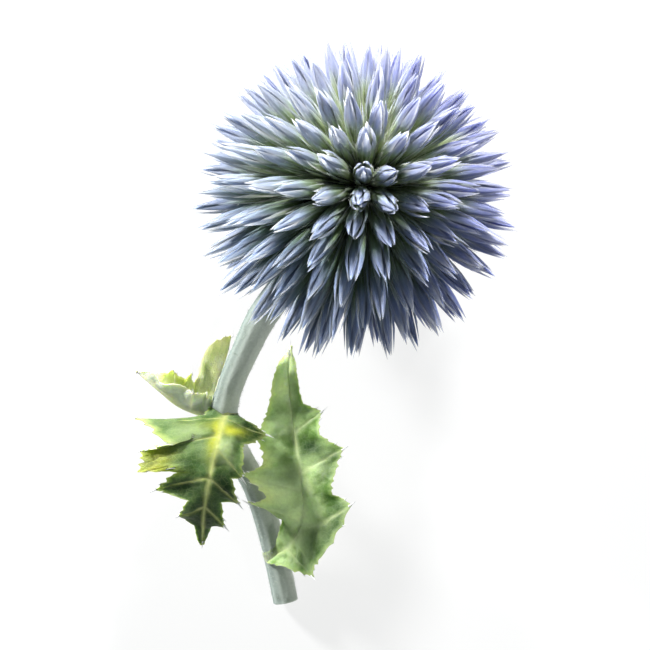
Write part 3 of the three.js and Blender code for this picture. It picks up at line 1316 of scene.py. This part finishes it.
    def felt(self) -> Thing:
        """Copies the tuft all over the stem.

        Returns:
            The finished felt.
        """
        model = self._tuft()
        model.data.materials.append(HairFinish().material())
        chance = random.Random(self.seed + 1)
        tufts = []
        for _ in range(self.tuft_count):
            share = self.start + (self.felt_end - self.start) * chance.random()
            angle = chance.uniform(0.0, 2 * math.pi)
            middle, side, top, _ = self.cross(share)
            out = side * math.cos(angle) + top * math.sin(angle)
            foot = middle + out * (self.radius(share) - self.hair_root)
            if foot.z < self.bare_below:
                continue
            turn = UP.rotation_difference(out).to_matrix().to_4x4()
            spin = Matrix.Rotation(chance.uniform(0.0, 2 * math.pi), 4, "Z")
            size = Matrix.Scale(chance.uniform(0.6, 1.1), 4)
            tufts.append(copy_at(model, Matrix.Translation(foot) @ turn @ spin @ size))
        return gather(tufts, model, "stem_felt")

    def build(self) -> None:
        """Builds the shaft and its felt."""
        stand_in_for(self.shaft(), "stem", "stem_felt")
        stand_in_for(self.felt(), "stem", "stem_felt")


# ---- the leaves -----------------------------------------------------------------------------------


@dataclass(frozen=True)
class Patch:
    """A soft patch on a blade, by its place along and across, and how far it reaches each way."""

    along: float
    across: float
    reach_along: float
    reach_across: float
    strength: float = 1.0

    def spread(self, along: np.ndarray, across: np.ndarray) -> np.ndarray:
        """Gives the patch's strength at each place on a blade.

        Args:
            along: The share of the midrib, for each place.
            across: From -1 to 1 across the blade.

        Returns:
            The strengths, from 0 to 1.
        """
        ahead = (along - self.along) / self.reach_along
        aside = (across - self.across) / self.reach_across
        return self.strength * np.exp(-(ahead**2 + aside**2))


@dataclass
class Leaf:
    """One lobed, spiny leaf on its arched midrib.

    An outline row is the share of the midrib, the width to the left, how far the left margin
    reaches forward, the width to the right and the same forward, in millimetres.
    """

    name: str
    slot: str
    finish: LeafFinish
    stem: Stem
    midrib: tuple[Triple, ...]
    face: tuple[Triple, Triple]
    fold: float
    rows: tuple[tuple[float, float, float, float, float], ...]
    # sunlit patches are painted light and deep patches painted shade.
    sunlit: tuple[Patch, ...] = ()
    golden: tuple[Patch, ...] = ()
    deep: tuple[Patch, ...] = ()
    steps: int = 12
    columns: int = 28
    thickness: float = 0.42 * MM
    edge_thickness: float = 0.3
    tip_thinning: float = 0.35
    rib_fade: float = 0.8
    lump_sizes: tuple[float, float] = (2.3 * MM, 1.0 * MM)
    wave: float = 0.55 * MM
    wave_step: float = 2.4
    sweep_power: float = 1.6
    lobe_power: float = 0.95
    point_width: float = 0.06
    tooth: float = 0.09
    pucker: float = 0.34 * MM
    vein_width: float = 0.26 * MM
    vein_depth: float = 0.16 * MM
    rib_height: float = 0.35 * MM
    spine_length: float = 1.5 * MM
    spine_width: float = 0.34 * MM
    clearance: float = 0.1 * MM

    def __post_init__(self) -> None:
        """Lays the midrib out in the frame."""
        self.line = Route(moved(self.midrib, self.stem.globe.shift))

    def _margin(self, order: float, side: float) -> tuple[float, float, float]:
        """Gives the midrib share, width and forward reach of one margin.

        Args:
            order: The place in the outline rows, such as 2.5 midway from the third to the fourth.
            side: Below 0 for the left margin.

        Returns:
            The share, the width and the forward reach, the last two in metres.
        """
        low = min(int(order), len(self.rows) - 2)
        part = order - low
        first, second = self.rows[low], self.rows[low + 1]
        wide, reach = (1, 2) if side < 0 else (3, 4)
        share = first[0] + (second[0] - first[0]) * part
        forward = first[reach] + (second[reach] - first[reach]) * part
        start = first[wide]
        end = second[wide] if low < len(self.rows) - 2 else self.point_width
        if end > start:
            width = start + (end - start) * part**self.lobe_power
        else:
            width = end + (start - end) * (1 - part) ** self.lobe_power
        notch = abs(math.sin(part * math.pi * 3)) * math.sin(part * math.pi)
        width *= 1 - self.tooth * notch
        return share, width * MM, forward * MM

    def _frame(self, share: float) -> tuple[Vector, Vector, Vector, Vector]:
        """Gives the midrib's place and the blade's side, up and along directions there.

        Args:
            share: The share of the midrib.

        Returns:
            The place and the three directions.
        """
        along = self.line.way(share)
        lean = Vector(self.face[0]).lerp(Vector(self.face[1]), share)
        side = along.cross(lean).normalized()
        return self.line.at(share), side, side.cross(along), along

    def point(self, order: float, across: float) -> Vector:
        """Gives a place on the smooth blade.

        Args:
            order: The place in the outline rows.
            across: From -1 at the left margin to 1 at the right one.

        Returns:
            The place in the frame.
        """
        share, width, forward = self._margin(order, across)
        place, side, up, along = self._frame(share)
        out = abs(across)
        fold = math.radians(self.fold)
        rise = self.wave * math.sin(order * self.wave_step + across) * out
        return (
            place
            + side * (across * width * math.cos(fold))
            + up * (out * width * math.sin(fold) + rise)
            + along * (forward * out**self.sweep_power)
        )

    def _lobes(self) -> list[tuple[int, float]]:
        """Gives each lobe's row number and side.

        Returns:
            Row numbers, each with -1 for left or 1 for right.
        """
        lobes = []
        for index in range(1, len(self.rows) - 1):
            for side, wide in ((-1.0, 1), (1.0, 3)):
                here = self.rows[index][wide]
                if here > self.rows[index - 1][wide] + 0.3 and here > self.rows[index + 1][wide] + 0.3:
                    lobes.append((index, side))
        return lobes

    def _veins(self, along: np.ndarray, across: np.ndarray, width: np.ndarray) -> np.ndarray:
        """Gives how strongly a vein shows at each place: the midrib and one vein to each lobe.

        Args:
            along: The share of the midrib, for each place.
            across: From -1 to 1 across the blade.
            width: The blade's width on that side, in metres.

        Returns:
            The strengths, from 0 to 1.
        """
        length = sum((b - a).length for a, b in zip(self.line.points, self.line.points[1:]))
        taper = 1.1 - 0.7 * along
        veins = np.exp(-((across * width / (1.9 * self.vein_width * taper)) ** 2))
        for index, side in self._lobes():
            lobe = self.rows[index][0]
            start = self.rows[index - 1][0] * 0.75 + lobe * 0.25
            out = np.clip(across * side, 0.0, 1.0)
            middle = start + (lobe - start) * out**0.8
            off = (along - middle) * length
            slim = self.vein_width * (1.2 - 0.6 * out)
            veins = np.maximum(veins, np.exp(-((off / slim) ** 2)) * (out > 0.0) * 0.85)
        return veins

    def blade(self) -> Thing:
        """Models the blade from a grid laid on the midrib and thickened, and marks its veins.

        Returns:
            The blade.
        """
        count = (len(self.rows) - 1) * self.steps
        grid = {"x_subdivisions": self.columns, "y_subdivisions": count, "size": 2.0}
        piece = added(bpy.ops.mesh.primitive_grid_add, **grid)
        mesh = piece.data
        flat = points_of(mesh)
        across = flat[:, 0]
        order = (flat[:, 1] + 1) / 2 * (len(self.rows) - 1)
        places = np.array([self.point(o, a) for o, a in zip(order, across)])
        margins = np.array([self._margin(o, a)[:2] for o, a in zip(order, across)])
        along, width = margins[:, 0], margins[:, 1]
        move_points(mesh, places)
        normals = np.array([vertex.normal[:] for vertex in mesh.vertices])
        vein = self._veins(along, across, width)
        soft = np.clip(1.2 - np.abs(across) ** 4, 0.0, 1.0)
        coarse, fine = (
            np.array([noise.noise(Vector(place) / size) for place in places]) for size in self.lump_sizes
        )
        lumps = coarse + 0.5 * fine
        rise = self.pucker * lumps * (1 - vein) * soft - self.vein_depth * vein
        move_points(mesh, places + normals * rise[:, None])
        paint_points(mesh, "vein", vein)
        paint_points(mesh, "margin", smoothstep(0.86, 1.0, np.abs(across)))
        # Patches: sunlit paints light and deep paints shade onto the blade.
        for name, patches in (("sunlit", self.sunlit), ("golden", self.golden), ("deep", self.deep)):
            spreads = [patch.spread(along, across) for patch in patches]
            paint_points(mesh, name, np.max(spreads, axis=0) if spreads else 0.0)
        self._thicken(piece, along, across, vein)
        return piece

    def _thicken(self, piece: Thing, along: np.ndarray, across: np.ndarray, vein: np.ndarray) -> None:
        """Thickens the sheet, thin at its margins, and raises the ribs on its underside.

        Args:
            piece: The sheet.
            along: The share of the midrib, for each of the sheet's vertices.
            across: From -1 to 1 across the sheet, for each of its vertices.
            vein: How strongly a vein shows, for each of its vertices.
        """
        mesh = piece.data
        group = piece.vertex_groups.new(name="body")
        bulk = 1 - self.tip_thinning * smoothstep(0.85, 1.0, along)
        bulk *= 1 - smoothstep(0.55, 1.0, np.abs(across))
        for index, weight in enumerate(bulk):
            group.add([index], float(weight), "REPLACE")
        count = len(mesh.vertices)
        shell = piece.modifiers.new("thickness", "SOLIDIFY")
        shell.thickness = self.thickness
        shell.offset = 0.0
        shell.vertex_group = "body"
        shell.thickness_vertex_group = self.edge_thickness
        bpy.ops.object.modifier_apply(modifier=shell.name)
        points = points_of(mesh)
        lower = points[count : 2 * count] - points[:count]
        lower /= np.maximum(np.linalg.norm(lower, axis=1, keepdims=True), 1e-9)
        mid = np.exp(-((across / 0.09) ** 2))
        rib = self.rib_height * (0.55 * vein + 0.45 * mid)
        rib *= 1 - self.rib_fade * smoothstep(0.7, 0.98, along)
        points[count : 2 * count] += lower * rib[:, None]
        under = np.zeros(len(mesh.vertices))
        under[count : 2 * count] = 1.0
        paint_points(mesh, "under", under)
        move_points(mesh, self._clear_of_stem(points))
        piece.vertex_groups.clear()
        bpy.ops.object.shade_smooth_by_angle(angle=math.radians(55))

    def _clear_of_stem(self, points: np.ndarray) -> np.ndarray:
        """Presses the leaf's clasping base out of the stem, where it would lie inside it.

        Args:
            points: The places of its vertices, one row each.

        Returns:
            The places, all outside the stem.
        """
        shares = np.linspace(self.stem.start, 1.0, 240)
        middles = np.array([self.stem.line.at(share)[:] for share in shares])
        radii = np.array([self.stem.radius(share) for share in shares]) + self.clearance
        for index, point in enumerate(points):
            far = np.linalg.norm(middles - point, axis=1)
            nearest = int(np.argmin(far - radii))
            if far[nearest] < radii[nearest]:
                out = (point - middles[nearest]) / max(far[nearest], 1e-9)
                points[index] = middles[nearest] + out * radii[nearest]
        return points

    def spines(self) -> list[Thing]:
        """Models a spine on each lobe and on the leaf's tip.

        Returns:
            The spines.
        """
        last = len(self.rows) - 1
        ends = [(float(index), side, 1.0) for index, side in self._lobes()]
        ends.append((float(last), 0.0, 1.2))
        for index, side in self._lobes():
            ends += [(index - 0.34, side, 0.5), (index + 0.34, side, 0.45)]
        made = []
        for order, side, size in ends:
            if side:
                tip, inner = self.point(order, side), self.point(order, side * 0.8)
                aim = (tip - inner).normalized() + self._frame(self._margin(order, side)[0])[3] * 0.35
            else:
                tip = self.point(order, 0.0)
                aim = self._frame(1.0)[3]
            aim.normalize()
            length = self.spine_length * size
            width = self.spine_width * (0.4 + 0.6 * size)
            spine = cone(6, width, length, tip + aim * length * 0.22, aim)
            paint_points(spine.data, "spine", 1.0)
            made.append(spine)
        return made

    def build(self) -> None:
        """Builds the leaf with its spines."""
        blade = self.blade()
        blade.data.materials.append(self.finish.material())
        piece = join([blade, *self.spines()], f"{self.name}_blade")
        stand_in_for(piece, self.name, self.slot)


def leaves(stem: Stem) -> list[Leaf]:
    """Gives the three leaves of the stem.

    Args:
        stem: The stem that they clasp.

    Returns:
        The leaves, from the head downwards.
    """
    return [
        Leaf(
            "leaf_upper", "leaf_pale",
            LeafFinish(
                "leaf_skin_upper", light="e9ebcf", dark="d2d6a6", vein="ecebc0", below="8b9580",
                sunlit="bac75a", deep="7d8f52",
            ),
            stem,
            midrib=(
                (-18.6, -30.4, 9.6), (-21.6, -29.6, 9.8), (-24.4, -28.4, 10.8), (-27.2, -26.2, 11.8),
                (-30.6, -23.7, 11.4),
            ),
            face=((0.35, 0.9, 0.15), (0.5, 0.8, 0.3)),
            fold=50,
            lobe_power=0.6,
            tooth=0.04,
            rows=(
                (0.00, 1.5, 0.0, 1.5, 0.0), (0.12, 2.7, 0.0, 4.2, 0.0), (0.19, 4.4, 0.5, 13.6, -1.0),
                (0.27, 4.4, 0.4, 8.6, 1.2), (0.34, 3.8, 0.2, 4.4, 0.6), (0.48, 4.6, 0.6, 4.8, 0.4),
                (0.58, 3.0, 0.0, 3.4, 0.0), (0.68, 2.6, 0.6, 4.0, 0.8), (0.78, 1.6, 0.0, 1.8, 0.0),
                (0.88, 1.0, 0.0, 1.0, 0.0), (1.00, 0.3, 0.0, 0.3, 0.0),
            ),
            sunlit=(Patch(0.62, 0.8, 0.3, 0.6),),
            # Painted shade on the tall lobe.
            deep=(Patch(0.29, 0.85, 0.025, 0.4, 0.5),),
        ),
        Leaf(
            "leaf_middle", "leaf_green",
            LeafFinish(
                "leaf_skin_middle", light="6c8652", dark="4b6a33", vein="d0d58c", below="8fa37c",
                sunlit="cfdfa4", deep="0e2a06", golden="dedd3c",
            ),
            stem,
            midrib=(
                (-17.9, -29.4, 12.2), (-18.4, -31.2, 15.4), (-19.2, -34.6, 17.9), (-20.2, -39.0, 17.8),
                (-21.0, -43.6, 15.0), (-21.4, -48.2, 10.6),
            ),
            face=((0.05, 0.55, 0.85), (-0.1, -0.5, 0.85)),
            fold=-10,
            lobe_power=0.6,
            rows=(
                (0.00, 2.2, 0.0, 2.2, 0.0), (0.10, 3.0, 0.0, 3.2, 0.0), (0.20, 6.6, -1.0, 12.6, -0.5),
                (0.29, 3.6, 0.4, 6.2, 3.0), (0.37, 4.0, 0.6, 10.7, 2.4), (0.48, 4.6, 1.6, 10.3, 4.0),
                (0.56, 3.0, 0.0, 4.6, 1.0), (0.65, 4.8, 2.0, 7.6, 3.0), (0.74, 2.2, 0.0, 2.4, 0.0),
                (0.82, 3.2, 1.6, 3.8, 1.8), (0.90, 1.2, 0.0, 1.3, 0.0), (1.00, 0.3, 0.0, 0.3, 0.0),
            ),
            sunlit=(Patch(0.26, 0.45, 0.05, 0.25, 0.3), Patch(0.4, -0.33, 0.07, 0.26)),
            golden=(
                Patch(0.3, 0.03, 0.14, 0.09, 0.9), Patch(0.24, -0.25, 0.045, 0.36, 0.8),
                Patch(0.44, 0.9, 0.09, 0.25),
            ),
            # Painted shade: patches darken the shaded lobes and the half of the leaf towards its tip.
            deep=(
                Patch(0.18, -0.95, 0.1, 0.45), Patch(0.6, -0.6, 0.1, 0.6), Patch(0.66, 0.5, 0.1, 0.6, 0.9),
                Patch(0.84, 0.0, 0.24, 1.2, 0.93), Patch(0.44, 0.92, 0.08, 0.35, 0.92),
                Patch(0.32, 0.85, 0.03, 0.5, 0.6), Patch(0.5, 0.45, 0.06, 0.25, 0.5),
                Patch(0.23, 0.9, 0.05, 0.5, 0.4),
            ),
        ),
        Leaf(
            "leaf_right", "leaf_green",
            LeafFinish(
                "leaf_skin_right", light="afc78a", dark="64853e", vein="c3d09c", below="a9b899",
                sunlit="e0edb8", deep="183a08",
            ),
            stem,
            midrib=(
                (-11.9, -50.6, 3.6), (-9.2, -48.9, 7.0), (-7.3, -45.0, 10.4), (-7.5, -38.6, 12.0),
                (-8.6, -31.0, 11.6), (-9.2, -25.2, 11.2), (-9.0, -20.4, 10.4),
            ),
            face=((-0.35, 0.3, 0.9), (-0.1, 0.25, 0.95)),
            fold=12,
            rows=(
                (0.00, 1.0, 0.0, 1.0, 0.0), (0.12, 1.8, 0.0, 2.6, 0.2), (0.21, 3.6, 1.0, 6.8, 0.8),
                (0.28, 3.6, 0.0, 6.0, 0.8), (0.37, 7.8, 0.8, 7.6, 2.8), (0.43, 5.2, 0.0, 4.8, 0.4),
                (0.49, 8.2, 1.4, 5.4, 0.6), (0.55, 5.2, 0.0, 7.0, 0.6), (0.61, 5.4, 0.8, 3.8, 0.0),
                (0.67, 4.4, 0.0, 4.6, 0.8), (0.73, 3.4, 0.0, 1.9, 0.0), (0.83, 2.3, 0.0, 1.5, 0.0),
                (0.92, 1.4, 0.0, 1.0, 0.0), (1.00, 0.3, 0.0, 0.3, 0.0),
            ),
            sunlit=(
                Patch(0.94, 0.0, 0.14, 2.0, 0.55), Patch(0.8, -0.3, 0.08, 1.0),
                Patch(0.43, -0.6, 0.1, 0.7, 0.95), Patch(0.34, -0.05, 0.07, 0.4),
                Patch(0.55, -0.85, 0.06, 0.4, 0.8), Patch(0.68, -0.4, 0.05, 0.4, 0.6),
                Patch(0.46, 0.1, 0.04, 0.3, 0.6),
            ),
            # Painted shade: patches darken the right side of the blade and spots by the midrib.
            deep=(
                Patch(0.58, 0.4, 0.035, 0.4, 0.95), Patch(0.34, 1.0, 0.1, 0.55, 0.9),
                Patch(0.51, -0.15, 0.03, 0.25, 0.5), Patch(0.3, 0.5, 0.05, 0.4, 0.4),
                Patch(0.62, -0.1, 0.03, 0.3, 0.5), Patch(0.52, 0.85, 0.06, 0.4, 0.7),
            ),
        ),
    ]


# ---- the stage ------------------------------------------------------------------------------------


@dataclass
class Studio:
    """Pale floor, soft lamps and a camera that looks straight down on the flower."""

    low: Vector
    high: Vector
    lens: float = 200.0
    sensor: float = 36.0
    margin: float = 1.12
    floor_size: float = 6.0
    floor_colour: str = "707070"
    floor_glow: float = 0.8
    leaf_middle: Triple = (-0.006, -0.011, 0.01)
    leaf_cone: float = math.radians(3.6)
    sky_colour: str = "c4e6da"
    sky_strength: float = 0.16

    def floor(self) -> None:
        """Lays the floor just under the flower."""
        floor = added(bpy.ops.mesh.primitive_plane_add, size=self.floor_size)
        floor.name = "floor"
        bench = Bench("floor")
        glow = {"Emission_Color": (1.0, 1.0, 1.0, 1.0), "Emission_Strength": self.floor_glow}
        skin = bench.finish(Base_Color=srgb(self.floor_colour), Roughness=0.9, **glow)
        floor.data.materials.append(skin)
        floor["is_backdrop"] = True

    def lamp(
        self, kind: str, name: str, place: Triple, target: Vector, power: float, **settings: float
    ) -> None:
        """Hangs one lamp.

        Args:
            kind: Blender's name for the kind of lamp.
            name: The lamp's name.
            place: Where it hangs.
            target: What it shines at.
            power: Its power in watts.
            settings: The lamp's other settings, such as its size.
        """
        turn = (target - Vector(place)).to_track_quat("-Z", "Y").to_euler()
        lamp = added(bpy.ops.object.light_add, type=kind, location=place, rotation=turn)
        lamp.name = name
        for key, value in {"energy": power, **settings}.items():
            setattr(lamp.data, key, value)

    def lights(self) -> None:
        """Hangs two low key lamps, a soft one above and a narrow one for the leaves."""
        middle = (self.low + self.high) / 2
        self.lamp("AREA", "key_left", (-0.66, 0.56, 0.28), middle, 19.0, size=0.14)
        self.lamp("AREA", "key_top", (0.18, 0.81, 0.39), middle, 18.5, size=0.14)
        self.lamp("AREA", "fill", (0.1, -0.35, 0.9), middle, 1.4, size=0.9)
        self.lamp(
            "SPOT", "leaf_light", (0.5, -0.3, 0.5), Vector(self.leaf_middle), 17.0,
            spot_size=self.leaf_cone, spot_blend=1.0, shadow_soft_size=0.03,
        )
        world = bpy.data.worlds.new("studio")
        world.use_nodes = True
        sky = world.node_tree.nodes["Background"].inputs
        sky["Color"].default_value = srgb(self.sky_colour)
        sky["Strength"].default_value = self.sky_strength
        bpy.context.scene.world = world
        bpy.context.scene.view_settings.view_transform = "Standard"

    def camera(self) -> None:
        """Hangs the camera over the middle of the flower."""
        middle = (self.low + self.high) / 2
        span = max(self.high.x - self.low.x, self.high.y - self.low.y) * self.margin
        rise = span * self.lens / self.sensor
        camera = added(bpy.ops.object.camera_add, location=middle + UP * rise, rotation=(0.0, 0.0, 0.0))
        camera.name = "camera"
        camera.data.lens = self.lens
        camera.data.sensor_width = self.sensor
        camera.data.clip_start = 0.01
        camera.data.clip_end = 20.0
        bpy.context.scene.camera = camera

    def build(self) -> None:
        """Builds the stage."""
        self.floor()
        self.lights()
        self.camera()


# ---- the whole flower -----------------------------------------------------------------------------


def corners(bounds: tuple[Vector, Vector]) -> list[list[float]]:
    """Turns the two corners of a box into plain lists."""
    return [list(map(float, corner)) for corner in bounds]


def main() -> None:
    """Builds the flower round the frame."""
    logging.basicConfig(level=logging.INFO, format="%(name)s: %(message)s")
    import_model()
    solid_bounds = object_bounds()
    globe = Globe()
    LOG.info("%d buds, places slid by %s", len(globe.buds), tuple(round(v / MM, 4) for v in globe.shift))
    Head(globe).build()
    stem = Stem(globe)
    stem.build()
    for leaf in leaves(stem):
        leaf.build()
    Studio(*solid_bounds).build()


if __name__ == "__main__":
    main()
